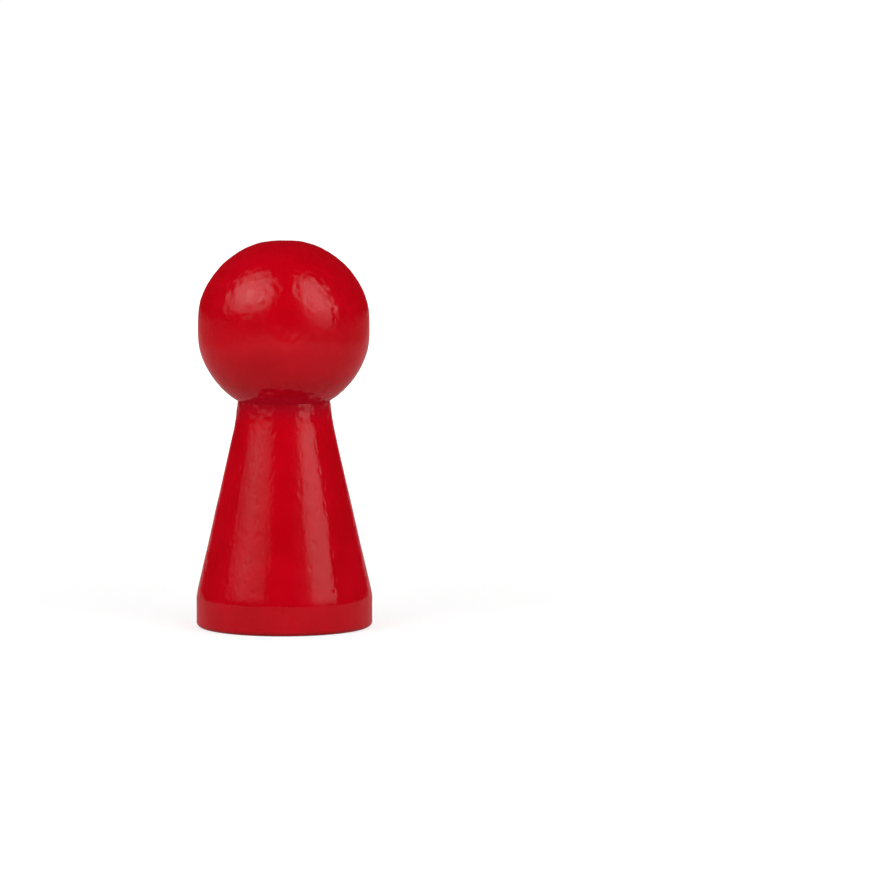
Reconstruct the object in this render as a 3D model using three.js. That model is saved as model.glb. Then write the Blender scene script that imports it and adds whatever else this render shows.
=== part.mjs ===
// Large halma peg: a turned wooden ball, doweled and glued to a turned wooden cone, lacquered red.
// Millimetres, +Z up. The origin is the centre of the base, on the surface that the peg stands on.

import * as THREE from "three";

// Driving dimensions of the cone body
const BASE_DIAMETER = 18; // straight band round the foot
const BODY_HEIGHT = 23.1; // base to the flat seat that carries the head
const FOOT_HEIGHT = 3.1; // base to the corner where the band would meet the cone
const FOOT_EDGE_RADIUS = 0.6; // round at the bottom edge
const SHOULDER_RADIUS = 5.9; // round between the band and the cone
const NECK_DIAMETER = 9.4; // top of the cone, and the flat under the ball that sits on it
const NECK_LAND = 0.85; // short straight stretch at the top of the cone

// Driving dimensions of the ball head
const HEAD_INSET = 0.12; // the ball lies this far inside the foot all round, so that pegs stand close
const BELLY_HEIGHT = 5.3; // slightly flattened band round the ball's equator
const BELLY_RELIEF = 0.15; // depth of that band below the full ball, at the equator
const CROWN_DIAMETER = 5.6; // slightly flattened cap on top of the ball
const CROWN_RELIEF = 0.12; // depth of that cap below the full ball, at its middle

// Driving dimensions of the glued dowel joint
const DOWEL_DIAMETER = 4;
const DOWEL_IN_HEAD = 6.5;
const DOWEL_IN_BODY = 7.5;
const DOWEL_CHAMFER = 0.5;
const FLUTE_COUNT = 16; // grooves along the dowel that let the glue out
const FLUTE_DEPTH = 0.2;
const BORE_CLEARANCE = 0.1; // glue gap round the dowel
const BORE_END_GAP = 0.6; // glue pocket past each end of the dowel
const MOUTH_CHAMFER = 0.4; // countersink at the mouth of each bore

// Fineness of the faceted surfaces
const FACET_TOLERANCE = 0.01; // greatest gap between a facet and the arc that it stands for
const TURNED_SIDES = 64;
const STEPS_PER_FLUTE = 4;
const BELLY_STEPS = 6;
const CROWN_STEPS = 3;

// Sizes that follow from the driving dimensions
const baseRadius = BASE_DIAMETER / 2;
const neckRadius = NECK_DIAMETER / 2;
const ballRadius = baseRadius - HEAD_INSET;
const bellyHalf = BELLY_HEIGHT / 2;
const crownRadius = CROWN_DIAMETER / 2;
const dowelRadius = DOWEL_DIAMETER / 2;
const boreRadius = dowelRadius + BORE_CLEARANCE;
const mouthRadius = boreRadius + MOUTH_CHAMFER;
const ballCentre = Math.sqrt(ballRadius ** 2 - neckRadius ** 2); // above the seat

// Materials

const redLacquer = new THREE.MeshStandardMaterial({ color: 0xbe0016, roughness: 0.3, metalness: 0 });
const bareBeech = new THREE.MeshStandardMaterial({ color: 0xd8b184, roughness: 0.75, metalness: 0 });

// Profiles are lists of points (radius, height), with the wood on the left of the direction of travel.

function arc(radius, height, arcRadius, from, to) {
  const largestStep = 2 * Math.acos(1 - FACET_TOLERANCE / arcRadius);
  const steps = Math.ceil((to - from) / largestStep);
  return Array.from({ length: steps + 1 }, (_, i) => {
    const angle = from + ((to - from) * i) / steps;
    return new THREE.Vector2(radius + arcRadius * Math.cos(angle), height + arcRadius * Math.sin(angle));
  });
}

function turned(profile, sides) {
  return new THREE.LatheGeometry(profile, sides).rotateX(Math.PI / 2);
}

function piece(name, geometry, material, height) {
  const mesh = new THREE.Mesh(geometry, material);
  mesh.name = name;
  mesh.position.z = height;
  return mesh;
}

// Cone body, from the base up the outside and down into the bore

function coneBody() {
  const coneTop = BODY_HEIGHT - NECK_LAND;
  const boreFloor = BODY_HEIGHT - DOWEL_IN_BODY - BORE_END_GAP;
  const lean = Math.atan2(baseRadius - neckRadius, coneTop - FOOT_HEIGHT);
  const shoulderStart = FOOT_HEIGHT - SHOULDER_RADIUS * Math.tan(lean / 2);
  const profile = [
    new THREE.Vector2(0, 0),
    ...arc(baseRadius - FOOT_EDGE_RADIUS, FOOT_EDGE_RADIUS, FOOT_EDGE_RADIUS, -Math.PI / 2, 0),
    ...arc(baseRadius - SHOULDER_RADIUS, shoulderStart, SHOULDER_RADIUS, 0, lean),
    new THREE.Vector2(neckRadius, coneTop),
    new THREE.Vector2(neckRadius, BODY_HEIGHT),
    new THREE.Vector2(mouthRadius, BODY_HEIGHT),
    new THREE.Vector2(boreRadius, BODY_HEIGHT - MOUTH_CHAMFER),
    new THREE.Vector2(boreRadius, boreFloor),
    new THREE.Vector2(0, boreFloor),
  ];
  return piece("cone_body", turned(profile, TURNED_SIDES), redLacquer, 0);
}

// How far the ball reaches where it is flattened, from 0 at the middle of the flattening to 1 at its edge

function flattenedReach(halfWidth, relief, share) {
  const reachAtEdge = Math.sqrt(ballRadius ** 2 - halfWidth ** 2);
  const reachAtMiddle = ballRadius - relief;
  return reachAtMiddle + (reachAtEdge - reachAtMiddle) * share ** 2;
}

function belly() {
  return Array.from({ length: BELLY_STEPS - 1 }, (_, i) => {
    const share = (2 * (i + 1)) / BELLY_STEPS - 1;
    const reach = flattenedReach(bellyHalf, BELLY_RELIEF, share);
    return new THREE.Vector2(reach, ballCentre + bellyHalf * share);
  });
}

function crown() {
  return Array.from({ length: CROWN_STEPS }, (_, i) => {
    const share = 1 - (i + 1) / CROWN_STEPS;
    const reach = flattenedReach(crownRadius, CROWN_RELIEF, share);
    return new THREE.Vector2(crownRadius * share, ballCentre + reach);
  });
}

// Ball head, with its flat at height 0, from the bore out and up over the ball

function ballHead() {
  const boreRoof = DOWEL_IN_HEAD + BORE_END_GAP;
  const flatAngle = -Math.acos(neckRadius / ballRadius);
  const bellyAngle = Math.asin(bellyHalf / ballRadius);
  const crownAngle = Math.acos(crownRadius / ballRadius);
  const profile = [
    new THREE.Vector2(0, boreRoof),
    new THREE.Vector2(boreRadius, boreRoof),
    new THREE.Vector2(boreRadius, MOUTH_CHAMFER),
    new THREE.Vector2(mouthRadius, 0),
    ...arc(0, ballCentre, ballRadius, flatAngle, -bellyAngle),
    ...belly(),
    ...arc(0, ballCentre, ballRadius, bellyAngle, crownAngle),
    ...crown(),
  ];
  return piece("ball_head", turned(profile, TURNED_SIDES), redLacquer, BODY_HEIGHT);
}

// Dowel pin with chamfered ends, its flutes pressed into the straight wall

function dowelPin() {
  const length = DOWEL_IN_HEAD + DOWEL_IN_BODY;
  const profile = [
    new THREE.Vector2(0, 0),
    new THREE.Vector2(dowelRadius - DOWEL_CHAMFER, 0),
    new THREE.Vector2(dowelRadius, DOWEL_CHAMFER),
    new THREE.Vector2(dowelRadius, length - DOWEL_CHAMFER),
    new THREE.Vector2(dowelRadius - DOWEL_CHAMFER, length),
    new THREE.Vector2(0, length),
  ];
  const geometry = turned(profile, FLUTE_COUNT * STEPS_PER_FLUTE);
  const places = geometry.getAttribute("position");
  for (let i = 0; i < places.count; i++) {
    if (profile[i % profile.length].x < dowelRadius) continue;
    const side = Math.floor(i / profile.length);
    const depth = (FLUTE_DEPTH * (1 - Math.cos((2 * Math.PI * side) / STEPS_PER_FLUTE))) / 2;
    const shrink = 1 - depth / dowelRadius;
    places.setXY(i, places.getX(i) * shrink, places.getY(i) * shrink);
  }
  return piece("dowel_pin", geometry, bareBeech, BODY_HEIGHT - DOWEL_IN_BODY);
}

const peg = new THREE.Group();
peg.add(coneBody(), ballHead(), dowelPin());

export default peg;
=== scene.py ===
"""Looks of a large halma peg: turned beech under a red lacquer, on a white floor between two softboxes."""

import math

import bpy
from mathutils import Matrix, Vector, noise


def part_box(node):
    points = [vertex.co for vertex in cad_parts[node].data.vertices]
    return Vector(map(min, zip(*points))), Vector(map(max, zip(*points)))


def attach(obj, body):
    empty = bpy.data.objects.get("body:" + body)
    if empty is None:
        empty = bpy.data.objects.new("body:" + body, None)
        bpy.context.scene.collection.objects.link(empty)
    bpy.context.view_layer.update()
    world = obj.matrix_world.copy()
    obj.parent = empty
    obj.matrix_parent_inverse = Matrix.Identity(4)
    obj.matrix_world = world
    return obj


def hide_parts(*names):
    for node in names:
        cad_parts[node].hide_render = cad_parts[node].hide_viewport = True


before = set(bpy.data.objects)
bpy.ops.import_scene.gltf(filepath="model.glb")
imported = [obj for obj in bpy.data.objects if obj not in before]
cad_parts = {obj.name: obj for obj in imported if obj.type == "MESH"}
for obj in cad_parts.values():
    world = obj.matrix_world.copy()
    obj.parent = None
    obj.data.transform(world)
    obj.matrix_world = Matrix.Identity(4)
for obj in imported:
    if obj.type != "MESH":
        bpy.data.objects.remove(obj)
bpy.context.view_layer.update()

MM = 0.001

# Form of the turned pieces that the boxes of the frame don't give
FOOT_HEIGHT = 3.1 * MM
FOOT_EDGE_RADIUS = 0.6 * MM
SHOULDER_RADIUS = 5.9 * MM
NECK_LAND = 0.85 * MM
NECK_HOLLOW_RADIUS = 26 * MM
NECK_LEAN = math.radians(5)
BELLY_HEIGHT = 5.3 * MM
BELLY_RELIEF = 0.15 * MM
CROWN_RADIUS = 2.8 * MM
BORE_CLEARANCE = 0.1 * MM
BORE_END_GAP = 0.6 * MM
MOUTH_CHAMFER = 0.4 * MM
SEAT_SLICE = 0.1 * MM

# Reach of the painted shade down the neck, and of the painted light up the ball, from the crease
NECK_SHADE_FALL = 2.4 * MM
BALL_LIGHT_RISE = 2 * MM

# Fineness of the meshes
GRID = 0.125 * MM
SIDES = 500
SANDED_REACH = 0.3 * MM
SAME_POINT = GRID / 20
SHARP_ANGLE = math.radians(40)

# Camera, in the photograph's frame of 880 by 880 pixels
PICTURE_SIDE = 880
FOCAL_PIXELS = 5303.5
SENSOR_WIDTH = 36.0
CAMERA_DISTANCE = 540 * MM
CAMERA_ELEVATION = math.radians(5.24)
CAMERA_TARGET = Vector((15.88, 0, 19.07)) * MM

# Sizes that follow from the frame

base_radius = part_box("cone_body")[1].x
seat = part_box("cone_body")[1].z
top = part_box("ball_head")[1].z
ball_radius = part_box("ball_head")[1].x + BELLY_RELIEF
dowel_low, dowel_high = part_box("dowel_pin")
bore_radius = dowel_high.x + BORE_CLEARANCE
body_corners = [vertex.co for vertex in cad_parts["cone_body"].data.vertices]
neck_radius = max(corner.xy.length for corner in body_corners if corner.z > seat - SEAT_SLICE)
ball_height = seat + math.sqrt(ball_radius**2 - neck_radius**2)

# Profiles: lists of (radius, height)


def arc(radius, height, arc_radius, start, end):
    steps = max(2, math.ceil(arc_radius * abs(end - start) / GRID))
    angles = [start + (end - start) * i / steps for i in range(steps + 1)]
    return [(radius + arc_radius * math.cos(a), height + arc_radius * math.sin(a)) for a in angles]


def straight(start, end):
    steps = max(1, math.ceil(math.dist(start, end) / GRID))
    shares = [i / steps for i in range(steps + 1)]
    return [(start[0] + (end[0] - start[0]) * s, start[1] + (end[1] - start[1]) * s) for s in shares]


def joined(*stretches):
    points = []
    for stretch in stretches:
        points += [p for p in stretch if not points or math.dist(p, points[-1]) > SAME_POINT]
    return points


def sanded(points):
    """The same profile with its corners eased, and its two ends kept."""
    for _ in range(round(2 * (SANDED_REACH / GRID) ** 2)):
        eased = [
            tuple((a + 2 * b + c) / 4 for a, b, c in zip(before, here, after))
            for before, here, after in zip(points, points[1:], points[2:])
        ]
        points = [points[0], *eased, points[-1]]
    return points


def flattened(half_width, relief, share):
    """How far the ball reaches where it is flattened, from share 0 at the middle to 1 at the edge."""
    return math.sqrt(ball_radius**2 - (half_width * share) ** 2) - relief * (1 - share**2) ** 2


def body_outside():
    lean = math.atan2(base_radius - neck_radius, seat - NECK_LAND - FOOT_HEIGHT)
    hollow_middle = (
        neck_radius + NECK_HOLLOW_RADIUS * math.cos(NECK_LEAN),
        seat + NECK_HOLLOW_RADIUS * math.sin(NECK_LEAN),
    )
    shoulder_start = FOOT_HEIGHT - SHOULDER_RADIUS * math.tan(lean / 2)
    foot_edge = arc(base_radius - FOOT_EDGE_RADIUS, FOOT_EDGE_RADIUS, FOOT_EDGE_RADIUS, -math.pi / 2, 0)
    band = straight(foot_edge[-1], (base_radius, shoulder_start))
    shoulder = arc(base_radius - SHOULDER_RADIUS, shoulder_start, SHOULDER_RADIUS, 0, lean)
    neck = arc(*hollow_middle, NECK_HOLLOW_RADIUS, math.pi + lean, math.pi + NECK_LEAN)
    cone = straight(shoulder[-1], neck[0])
    return joined([(0, 0)], foot_edge, sanded(joined(band, shoulder, cone, neck)))


def head_outside():
    belly_half = BELLY_HEIGHT / 2
    belly_angle = math.asin(belly_half / ball_radius)
    crown_angle = math.acos(CROWN_RADIUS / ball_radius)
    crown_relief = ball_height + ball_radius - top
    seat_angle = math.acos(neck_radius / ball_radius)
    lower = arc(0, ball_height, ball_radius, -seat_angle, -belly_angle)
    belly_steps = math.ceil(BELLY_HEIGHT / GRID)
    belly_shares = [2 * i / belly_steps - 1 for i in range(belly_steps + 1)]
    belly = [(flattened(belly_half, BELLY_RELIEF, s), ball_height + belly_half * s) for s in belly_shares]
    upper = arc(0, ball_height, ball_radius, belly_angle, crown_angle)
    crown_steps = math.ceil(CROWN_RADIUS / GRID)
    crown_shares = [1 - i / crown_steps for i in range(crown_steps + 1)]
    crown_heights = [ball_height + flattened(CROWN_RADIUS, crown_relief, s) for s in crown_shares]
    crown = [(CROWN_RADIUS * s, height) for s, height in zip(crown_shares, crown_heights)]
    return sanded(joined(lower, belly, upper, crown))


# Surface relief, as depth below the turned form: waves, peel, grain, pores, lumps, and dents on the head

WAVE_LENGTH, WAVE_DEPTH = 3.4 * MM, 0.03 * MM
PEEL_LENGTH, PEEL_DEPTH = 1.3 * MM, 0.02 * MM
GRAIN_WIDTH, GRAIN_LENGTH, GRAIN_DEPTH = 0.9 * MM, 5 * MM, 0.02 * MM
PORE_WIDTH, PORE_LENGTH, PORE_DEPTH = 0.4 * MM, 0.8 * MM, 0.036 * MM
PORE_LEVEL = 0.2
LUMP_LENGTH, LUMP_DEPTH = 0.65 * MM, 0.028 * MM
LUMP_RISE = 3 * MM
CREASE_LUMP_REACH = 3.5 * MM
CREASE_LUMP_SHARE = 2.2
SEAM_REACH = 0.4 * MM
MEAN_DEPTH = (WAVE_DEPTH + PEEL_DEPTH + GRAIN_DEPTH) / 2


def dent(azimuth, height, radius, depth):
    """A dent in the ball, in degrees and millimetres, azimuth 0 on the camera's side and 90 on +X."""
    turn = math.radians(azimuth)
    reach = math.sqrt(ball_radius**2 - (height * MM - ball_height) ** 2)
    return Vector((reach * math.sin(turn), -reach * math.cos(turn), height * MM)), radius * MM, depth * MM


dents = [
    dent(26.7, 35.1, 0.35, 0.02),
    dent(17.4, 33.7, 0.35, 0.02),
    dent(20.3, 33.3, 0.3, 0.016),
    dent(22.8, 32.9, 0.3, 0.016),
    dent(40.6, 33.4, 0.35, 0.02),
    dent(38.7, 34.4, 0.5, 0.015),
    dent(-35, 35.3, 0.3, 0.014),
    dent(-15.4, 35.8, 0.3, 0.014),
]


def hollow(away):
    """Depth of a round hollow, from 1 in its middle to 0 at its edge."""
    return max(0, 1 - away**2) ** 2


def along_grain(point, width, length):
    return Vector((point.x / width, point.y / width, point.z / length))


def lumpiness(height):
    """How uneven the lacquer lies: on the end grain of the upper half of the ball, and at the crease."""
    upper = min(1, max(0, (height - ball_height) / LUMP_RISE))
    return upper + CREASE_LUMP_SHARE * max(0, 1 - abs(height - seat) / CREASE_LUMP_REACH)


def relief(point):
    """Mostly level with the turned form, inside the peg's box, and none on the base and at the seam."""
    waves = WAVE_DEPTH * (noise.noise(point / WAVE_LENGTH) + 1) / 2
    peel = PEEL_DEPTH * (noise.noise(point / PEEL_LENGTH) + 1) / 2
    grain = GRAIN_DEPTH * (noise.noise(along_grain(point, GRAIN_WIDTH, GRAIN_LENGTH)) + 1) / 2
    pores = PORE_DEPTH * max(0, noise.noise(along_grain(point, PORE_WIDTH, PORE_LENGTH)) - PORE_LEVEL)
    lumps = LUMP_DEPTH * noise.noise(point / LUMP_LENGTH) * lumpiness(point.z)
    dented = sum(depth * hollow((point - centre).length / radius) for centre, radius, depth in dents)
    spare = min(MEAN_DEPTH, base_radius - point.xy.length, top - point.z)
    share = min(1, point.z / FOOT_EDGE_RADIUS, abs(point.z - seat) / SEAM_REACH)
    return (waves + peel + grain + pores + lumps + dented - spare) * share


# Turned solids


def ring(profile, place, lacquered):
    """The points round the axis at one place of the profile, with relief if that is lacquered."""
    radius, height = profile[place]
    before, after = profile[max(place - 1, lacquered.start)], profile[min(place + 1, lacquered.stop - 1)]
    along = Vector((after[0] - before[0], after[1] - before[1])).normalized()
    points = []
    for k in range(SIDES):
        turn = 2 * math.pi * k / SIDES
        point = Vector((radius * math.cos(turn), radius * math.sin(turn), height))
        if place in lacquered:
            outward = Vector((along.y * math.cos(turn), along.y * math.sin(turn), -along.x))
            point -= relief(point) * outward
        points.append(point)
    return points


def turned_faces(last_place, lacquered):
    """The faces between the places of a profile, all the way round, and which of them are bare wood."""
    last = 1 + (last_place - 1) * SIDES
    faces, bare = [], []
    for k in range(SIDES):
        following = (k + 1) % SIDES
        faces.append((0, 1 + following, 1 + k))
        bare.append(0 not in lacquered)
        faces.append((last, last - SIDES + k, last - SIDES + following))
        bare.append(last_place not in lacquered)
        for place in range(1, last_place - 1):
            low, high = 1 + (place - 1) * SIDES, 1 + place * SIDES
            faces.append((low + k, low + following, high + following, high + k))
            bare.append(place not in lacquered or place + 1 not in lacquered)
    return faces, bare


def turned_solid(name, outside, inside, outside_first):
    """A closed solid of revolution, its profile running from axis to axis, lacquered on its outside."""
    profile = [*outside, *inside] if outside_first else [*inside, *outside]
    first_lacquered = 0 if outside_first else len(inside)
    lacquered = range(first_lacquered, first_lacquered + len(outside))
    last_place = len(profile) - 1
    points = [Vector((0, 0, profile[0][1]))]
    for place in range(1, last_place):
        points += ring(profile, place, lacquered)
    tip = Vector((0, 0, profile[last_place][1]))
    if last_place in lacquered:
        tip.z -= relief(tip)
    points.append(tip)
    faces, bare = turned_faces(last_place, lacquered)
    mesh = bpy.data.meshes.new(name)
    mesh.from_pydata(points, [], faces)
    mesh.polygons.foreach_set("use_smooth", [True] * len(faces))
    mesh.polygons.foreach_set("material_index", [int(b) for b in bare])
    mesh.set_sharp_from_angle(angle=SHARP_ANGLE)
    solid = bpy.data.objects.new(name, mesh)
    bpy.context.scene.collection.objects.link(solid)
    return solid


def bore(mouth_height, end_height):
    inward = math.copysign(MOUTH_CHAMFER, end_height - mouth_height)
    mouth = (bore_radius + MOUTH_CHAMFER, mouth_height)
    return [mouth, (bore_radius, mouth_height + inward), (bore_radius, end_height), (0, end_height)]


# Materials

NOISE_LOW, NOISE_HIGH = 0.3, 0.7
MIX_FIRST, MIX_SECOND, MIX_RESULT = 6, 7, 2  # colour sockets of a Mix node
LACQUER_DEEP = (0.47, 0.0, 0.005)
LACQUER_BRIGHT = (0.53, 0.0004, 0.0075)
# Painted shade: a darker red on the neck, under the ball
LACQUER_NECK_SHADE = (0.38, 0.002, 0.0095)
# Painted light: a brighter red on the ball, just above the crease
LACQUER_UNDER_BALL_LIT = (0.56, 0.0038, 0.017)
LACQUER_CLOUD_SIZE = 4 * MM
LACQUER_PEEL_SIZE, LACQUER_PEEL_DEPTH = 0.55 * MM, 0.016 * MM
LACQUER_GRAIN_SIZE, LACQUER_GRAIN_DEPTH = 0.3 * MM, 0.005 * MM
LACQUER_GRAIN_STRETCH = (1, 1, 0.1)
LACQUER_DETAIL = 2
LACQUER_ROUGHNESS = 0.4
COAT_WEIGHT = 0.2
COAT_ROUGHNESS = 0.1
BEECH_DARK = (0.62, 0.40, 0.20)
BEECH_LIGHT = (0.74, 0.52, 0.30)
BEECH_GRAIN_SIZE, BEECH_GRAIN_DEPTH = 0.35 * MM, 0.01 * MM
BEECH_GRAIN_STRETCH = (1, 1, 0.06)
BEECH_DETAIL = 3
BEECH_SMOOTH, BEECH_ROUGH = 0.6, 0.8


def new_material(name):
    material = bpy.data.materials.new(name)
    material.use_nodes = True
    tree = material.node_tree
    tree.nodes.clear()
    output = tree.nodes.new("ShaderNodeOutputMaterial")
    shader = tree.nodes.new("ShaderNodeBsdfPrincipled")
    tree.links.new(shader.outputs["BSDF"], output.inputs["Surface"])
    return material, tree, shader


def object_place(tree, stretch=(1, 1, 1)):
    place = tree.nodes.new("ShaderNodeTexCoord")
    scaled = tree.nodes.new("ShaderNodeVectorMath")
    scaled.operation = "MULTIPLY"
    scaled.inputs[1].default_value = stretch
    tree.links.new(place.outputs["Object"], scaled.inputs[0])
    return scaled.outputs["Vector"]


def noise_at(tree, place, size, detail):
    pattern = tree.nodes.new("ShaderNodeTexNoise")
    pattern.inputs["Scale"].default_value = 1 / size
    pattern.inputs["Detail"].default_value = detail
    tree.links.new(place, pattern.inputs["Vector"])
    return pattern.outputs["Fac"]


def ranged(tree, value, low, high, to_low, to_high):
    ramp = tree.nodes.new("ShaderNodeMapRange")
    ramp.interpolation_type = "SMOOTHSTEP"
    ramp.inputs["From Min"].default_value = low
    ramp.inputs["From Max"].default_value = high
    ramp.inputs["To Min"].default_value = to_low
    ramp.inputs["To Max"].default_value = to_high
    tree.links.new(value, ramp.inputs["Value"])
    return ramp.outputs["Result"]


def evened(tree, pattern, to_low=0, to_high=1):
    """A noise pattern, stretched from its usual range to the given one."""
    return ranged(tree, pattern, NOISE_LOW, NOISE_HIGH, to_low, to_high)


def mixed(tree, share, first, second):
    mix = tree.nodes.new("ShaderNodeMix")
    mix.data_type = "RGBA"
    tree.links.new(share, mix.inputs["Factor"])
    for socket, colour in ((mix.inputs[MIX_FIRST], first), (mix.inputs[MIX_SECOND], second)):
        if isinstance(colour, tuple):
            socket.default_value = (*colour, 1)
        else:
            tree.links.new(colour, socket)
    return mix.outputs[MIX_RESULT]


def worked_out(tree, operation, first, second):
    node = tree.nodes.new("ShaderNodeMath")
    node.operation = operation
    for socket, value in zip(node.inputs, (first, second)):
        if isinstance(value, (int, float)):
            socket.default_value = value
        else:
            tree.links.new(value, socket)
    return node.outputs["Value"]


def bumped(tree, height, depth, normal=None):
    bump = tree.nodes.new("ShaderNodeBump")
    bump.inputs["Strength"].default_value = 1
    bump.inputs["Distance"].default_value = depth
    tree.links.new(height, bump.inputs["Height"])
    if normal:
        tree.links.new(normal, bump.inputs["Normal"])
    return bump.outputs["Normal"]


def painted_crease_shading(tree, place, colour):
    """The colour, with painted shade darkening the neck below the crease and painted light brightening the
    ball above it.
    """
    split = tree.nodes.new("ShaderNodeSeparateXYZ")
    tree.links.new(place, split.inputs["Vector"])
    height = split.outputs["Z"]
    on_ball = worked_out(tree, "GREATER_THAN", height, seat)
    # Painted shade on the neck, deepest at the crease
    neck_shade_share = ranged(tree, height, seat - NECK_SHADE_FALL, seat, 0, 1)
    # Painted light on the ball, strongest at the crease
    under_ball_light_share = ranged(tree, height, seat, seat + BALL_LIGHT_RISE, 1, 0)
    shaded_neck = mixed(tree, neck_shade_share, colour, LACQUER_NECK_SHADE)
    lit_under_ball = mixed(tree, under_ball_light_share, colour, LACQUER_UNDER_BALL_LIT)
    return mixed(tree, on_ball, shaded_neck, lit_under_ball)


def red_lacquer():
    material, tree, shader = new_material("red_lacquer")
    place = object_place(tree)
    grain_place = object_place(tree, LACQUER_GRAIN_STRETCH)
    clouds = noise_at(tree, place, LACQUER_CLOUD_SIZE, LACQUER_DETAIL)
    peel = noise_at(tree, place, LACQUER_PEEL_SIZE, LACQUER_DETAIL)
    grain = noise_at(tree, grain_place, LACQUER_GRAIN_SIZE, LACQUER_DETAIL)
    colour = mixed(tree, evened(tree, clouds), LACQUER_DEEP, LACQUER_BRIGHT)
    # The base colour carries painted shade on the neck and painted light under the ball
    tree.links.new(painted_crease_shading(tree, place, colour), shader.inputs["Base Color"])
    grained = bumped(tree, grain, LACQUER_GRAIN_DEPTH)
    normal = bumped(tree, peel, LACQUER_PEEL_DEPTH, grained)
    tree.links.new(normal, shader.inputs["Normal"])
    tree.links.new(normal, shader.inputs["Coat Normal"])
    shader.inputs["Roughness"].default_value = LACQUER_ROUGHNESS
    shader.inputs["Specular IOR Level"].default_value = 0
    shader.inputs["Coat Weight"].default_value = COAT_WEIGHT
    shader.inputs["Coat Roughness"].default_value = COAT_ROUGHNESS
    return material


def bare_beech():
    material, tree, shader = new_material("bare_beech")
    grain_place = object_place(tree, BEECH_GRAIN_STRETCH)
    grain = noise_at(tree, grain_place, BEECH_GRAIN_SIZE, BEECH_DETAIL)
    colour = mixed(tree, evened(tree, grain), BEECH_DARK, BEECH_LIGHT)
    tree.links.new(colour, shader.inputs["Base Color"])
    tree.links.new(evened(tree, grain, BEECH_SMOOTH, BEECH_ROUGH), shader.inputs["Roughness"])
    tree.links.new(bumped(tree, grain, BEECH_GRAIN_DEPTH), shader.inputs["Normal"])
    return material


# The peg

lacquer = red_lacquer()
beech = bare_beech()

body_bore = bore(seat, dowel_low.z - BORE_END_GAP)
head_bore = bore(seat, dowel_high.z + BORE_END_GAP)
body = turned_solid("lacquered_body", body_outside(), body_bore, True)
head = turned_solid("lacquered_head", head_outside(), head_bore[::-1], False)
for piece, node in ((body, "cone_body"), (head, "ball_head")):
    piece.data.materials.append(lacquer)
    piece.data.materials.append(beech)
    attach(piece, "root")
    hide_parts(node)
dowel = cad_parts["dowel_pin"]
dowel.data.materials.clear()
dowel.data.materials.append(beech)

# Stage: a pale floor, white in the photograph's field and, as a painted pool of light, round the peg, in a
# dim room

FLOOR_RADIUS = 9000 * MM
FLOOR_SIDES = 128
FLOOR_DROP = 0.01 * MM
FLOOR_COLOUR = (0.43, 0.43, 0.43, 1)
ROOM = (0.05, 0.05, 0.05, 1)

# The field: white floor that the photograph shows, widening away from the camera
FIELD_MIDDLE = 16 * MM
FIELD_HALF_WIDTH = 47 * MM
FIELD_SPREAD = 0.086
FIELD_FRONT = -155 * MM
FIELD_FADE = 220 * MM

# The pool: a painted pool of light, white floor round the peg, greyer past its end, and again far away
POOL_REACH = 40 * MM
POOL_END = 160 * MM
POOL_BEYOND = 0.33
FAR_REACH = 700 * MM
FAR_SHARE = 0.8

# The glow is weaker close to the peg, so that its shadow shows
SHADE_REACH = 30 * MM
WHITE_REACH = 160 * MM
NEAR_GLOW = 0.68

# Softboxes: distance from the head, radiance, and how far the mirrored ones lean and spread downwards
LIGHT_DISTANCE = 240 * MM
FILL_DISTANCE = 640 * MM
LEFT_SHINE_DISTANCE = 300 * MM
RIGHT_SHINE_DISTANCE = 180 * MM
FRONT_RADIANCE = 2.83
SIDE_RADIANCE = 0.86
BACK_RADIANCE = 1.26
LEFT_SHINE_RADIANCE = 12.2
RIGHT_SHINE_RADIANCE = 8.2
LEFT_SHINE_LEAN, LEFT_SHINE_SPREAD = -0.2, 0.15
RIGHT_SHINE_LEAN, RIGHT_SHINE_SPREAD = 0.5, 0.4


def distance_from_middle(tree, place):
    distance = tree.nodes.new("ShaderNodeVectorMath")
    distance.operation = "LENGTH"
    tree.links.new(place, distance.inputs[0])
    return distance.outputs["Value"]


def floor_glow(tree):
    """How much the floor shows beside what the lamps give it: white in the field, and a painted pool of
    light round the peg.
    """
    place = object_place(tree)
    split = tree.nodes.new("ShaderNodeSeparateXYZ")
    tree.links.new(place, split.inputs["Vector"])
    aside = worked_out(tree, "ABSOLUTE", worked_out(tree, "SUBTRACT", split.outputs["X"], FIELD_MIDDLE), 0)
    widened = worked_out(tree, "MULTIPLY", split.outputs["Y"], FIELD_SPREAD)
    outside = worked_out(tree, "SUBTRACT", aside, widened)
    across = ranged(tree, outside, FIELD_HALF_WIDTH, FIELD_HALF_WIDTH + FIELD_FADE, 1, 0)
    along = ranged(tree, split.outputs["Y"], FIELD_FRONT - FIELD_FADE, FIELD_FRONT, 0, 1)
    distance = distance_from_middle(tree, place)
    # Painted pool of light: the glow fades with distance from the peg
    near = ranged(tree, distance, POOL_REACH, POOL_END, 1, POOL_BEYOND)
    far = ranged(tree, distance, POOL_END, FAR_REACH, 1, FAR_SHARE)
    painted_light_pool = worked_out(tree, "MULTIPLY", near, far)
    field = worked_out(tree, "MULTIPLY", across, along)
    white = worked_out(tree, "MAXIMUM", field, painted_light_pool)
    unlit = ranged(tree, distance, SHADE_REACH, WHITE_REACH, NEAR_GLOW, 1)
    return worked_out(tree, "MULTIPLY", white, unlit)


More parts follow.
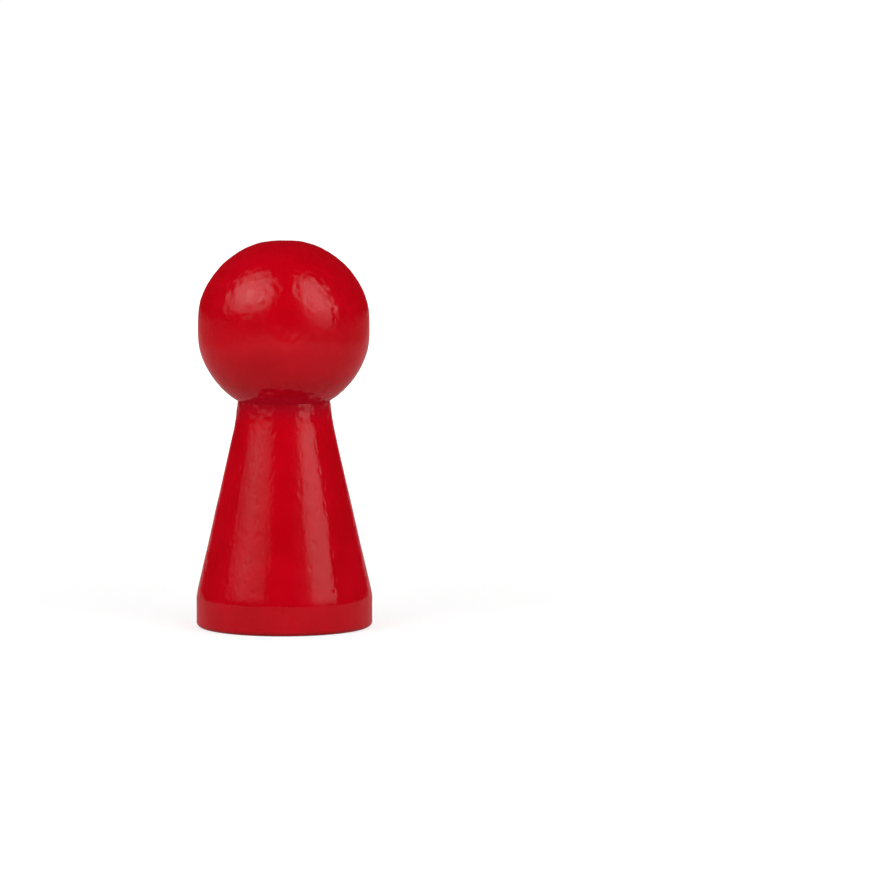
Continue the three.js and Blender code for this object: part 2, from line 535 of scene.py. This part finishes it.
def floor():
    mesh = bpy.data.meshes.new("floor")
    turns = [2 * math.pi * k / FLOOR_SIDES for k in range(FLOOR_SIDES)]
    rim = [(FLOOR_RADIUS * math.cos(t), FLOOR_RADIUS * math.sin(t), -FLOOR_DROP) for t in turns]
    mesh.from_pydata(rim, [], [tuple(range(FLOOR_SIDES))])
    ground = bpy.data.objects.new("floor", mesh)
    bpy.context.scene.collection.objects.link(ground)
    material = bpy.data.materials.new("floor")
    material.use_nodes = True
    tree = material.node_tree
    tree.nodes.clear()
    output = tree.nodes.new("ShaderNodeOutputMaterial")
    both = tree.nodes.new("ShaderNodeAddShader")
    matt = tree.nodes.new("ShaderNodeBsdfDiffuse")
    glow = tree.nodes.new("ShaderNodeEmission")
    matt.inputs["Color"].default_value = FLOOR_COLOUR
    rays = tree.nodes.new("ShaderNodeLightPath")
    seen = worked_out(tree, "MAXIMUM", rays.outputs["Is Camera Ray"], rays.outputs["Is Glossy Ray"])
    seen = worked_out(tree, "MAXIMUM", seen, rays.outputs["Is Transmission Ray"])
    tree.links.new(worked_out(tree, "MULTIPLY", floor_glow(tree), seen), glow.inputs["Strength"])
    tree.links.new(matt.outputs["BSDF"], both.inputs[0])
    tree.links.new(glow.outputs["Emission"], both.inputs[1])
    tree.links.new(both.outputs["Shader"], output.inputs["Surface"])
    mesh.materials.append(material)


def lamp(name, azimuth, elevation, width, height, distance, radiance):
    """A softbox, its angles in degrees from the head, azimuth 0 on the camera's side and 90 on +X."""
    turn, rise = math.radians(azimuth), math.radians(elevation)
    towards = Vector((math.sin(turn) * math.cos(rise), -math.cos(turn) * math.cos(rise), math.sin(rise)))
    light = bpy.data.lights.new(name, "AREA")
    light.shape = "RECTANGLE"
    light.size = 2 * distance * math.tan(math.radians(width / 2))
    light.size_y = 2 * distance * math.tan(math.radians(height / 2))
    light.energy = radiance * math.pi * light.size * light.size_y
    holder = bpy.data.objects.new(name, light)
    holder.location = Vector((0, 0, ball_height)) + towards * distance
    holder.rotation_euler = towards.to_track_quat("Z", "Y").to_euler()
    holder.visible_camera = False
    bpy.context.scene.collection.objects.link(holder)
    return holder


def light_lamp(name, azimuth, elevation, width, height, distance, radiance):
    """A softbox that lights the peg, and isn't mirrored."""
    lamp(name, azimuth, elevation, width, height, distance, radiance).visible_glossy = False


def faded(tree, way, falloff):
    """Brightness at a share of the way out, from pairs of share and brightness."""
    ramp = tree.nodes.new("ShaderNodeValToRGB")
    steps = ramp.color_ramp.elements
    for place, _ in falloff[1:-1]:
        steps.new(place)
    for step, (_, brightness) in zip(steps, falloff):
        step.color = (brightness, brightness, brightness, 1)
    tree.links.new(way, ramp.inputs["Fac"])
    return ramp.outputs["Color"]


def shine(holder, lean, spread, outward, downward):
    """Makes a softbox one that is only mirrored, round above its middle, leaning and spreading below it."""
    holder.visible_diffuse = False
    holder.data.use_nodes = True
    tree = holder.data.node_tree
    across = tree.nodes.new("ShaderNodeNewGeometry")
    # The place on the softbox, from -1 to 1 both ways
    centred = tree.nodes.new("ShaderNodeVectorMath")
    centred.operation = "MULTIPLY_ADD"
    centred.inputs[1].default_value = (2, 2, 0)
    centred.inputs[2].default_value = (-1, -1, 0)
    tree.links.new(across.outputs["Parametric"], centred.inputs[0])
    split = tree.nodes.new("ShaderNodeSeparateXYZ")
    tree.links.new(centred.outputs["Vector"], split.inputs["Vector"])
    above = worked_out(tree, "MAXIMUM", split.outputs["Y"], 0)
    below = worked_out(tree, "MAXIMUM", worked_out(tree, "MULTIPLY", split.outputs["Y"], -1), 0)
    aside = worked_out(tree, "SUBTRACT", split.outputs["X"], worked_out(tree, "MULTIPLY", below, lean))
    reach = worked_out(tree, "ADD", worked_out(tree, "MULTIPLY", below, spread), 1)
    aside = worked_out(tree, "DIVIDE", aside, reach)
    offset = tree.nodes.new("ShaderNodeCombineXYZ")
    tree.links.new(aside, offset.inputs["X"])
    tree.links.new(above, offset.inputs["Y"])
    round_glow = faded(tree, distance_from_middle(tree, offset.outputs["Vector"]), outward)
    glow = worked_out(tree, "MULTIPLY", round_glow, faded(tree, below, downward))
    tree.links.new(glow, tree.nodes["Emission"].inputs["Strength"])


def room():
    world = bpy.data.worlds.new("room")
    bpy.context.scene.world = world
    world.use_nodes = True
    world.node_tree.nodes["Background"].inputs["Color"].default_value = ROOM


floor()

# Azimuth, elevation, width and height of each softbox, in degrees
light_lamp("light_left", -44, 24, 50, 50, LIGHT_DISTANCE, FRONT_RADIANCE)
light_lamp("light_right", 44, 24, 50, 50, LIGHT_DISTANCE, FRONT_RADIANCE)
light_lamp("light_side_left", -110, 15, 60, 50, FILL_DISTANCE, SIDE_RADIANCE)
light_lamp("light_side_right", 110, 15, 60, 50, FILL_DISTANCE, SIDE_RADIANCE)
light_lamp("light_back", 180, 30, 60, 50, FILL_DISTANCE, BACK_RADIANCE)

# Brightness of the mirrored softboxes, as pairs of the share of the way out and the brightness there
left_outward = [(0, 1), (0.15, 0.85), (0.3, 0.67), (0.5, 0.49), (0.7, 0.34), (0.85, 0.17), (1, 0)]
left_downward = [(0, 1), (0.15, 0.84), (0.3, 0.63), (0.5, 0.44), (0.65, 0.34), (0.8, 0.2), (1, 0.04)]
right_outward = [(0, 1), (0.35, 0.95), (0.5, 0.81), (0.67, 0.51), (0.8, 0.26), (0.9, 0.07), (1, 0)]
right_downward = [(0, 1), (0.3, 0.95), (0.4, 0.87), (0.5, 0.73), (0.65, 0.57), (0.8, 0.41), (1, 0.15)]
left = lamp("shine_left", -54, 40, 71, 69, LEFT_SHINE_DISTANCE, LEFT_SHINE_RADIANCE)
right = lamp("shine_right", 52, 36, 50, 78, RIGHT_SHINE_DISTANCE, RIGHT_SHINE_RADIANCE)
shine(left, LEFT_SHINE_LEAN, LEFT_SHINE_SPREAD, left_outward, left_downward)
shine(right, RIGHT_SHINE_LEAN, RIGHT_SHINE_SPREAD, right_outward, right_downward)
room()

# Camera

camera = bpy.data.objects.new("camera", bpy.data.cameras.new("camera"))
camera.data.sensor_width = SENSOR_WIDTH
camera.data.lens = FOCAL_PIXELS / PICTURE_SIDE * SENSOR_WIDTH
back = Vector((0, -math.cos(CAMERA_ELEVATION), math.sin(CAMERA_ELEVATION)))
camera.location = CAMERA_TARGET + CAMERA_DISTANCE * back
camera.rotation_euler = back.to_track_quat("Z", "Y").to_euler()
bpy.context.scene.collection.objects.link(camera)
bpy.context.scene.camera = camera
bpy.context.scene.view_settings.view_transform = "Standard"
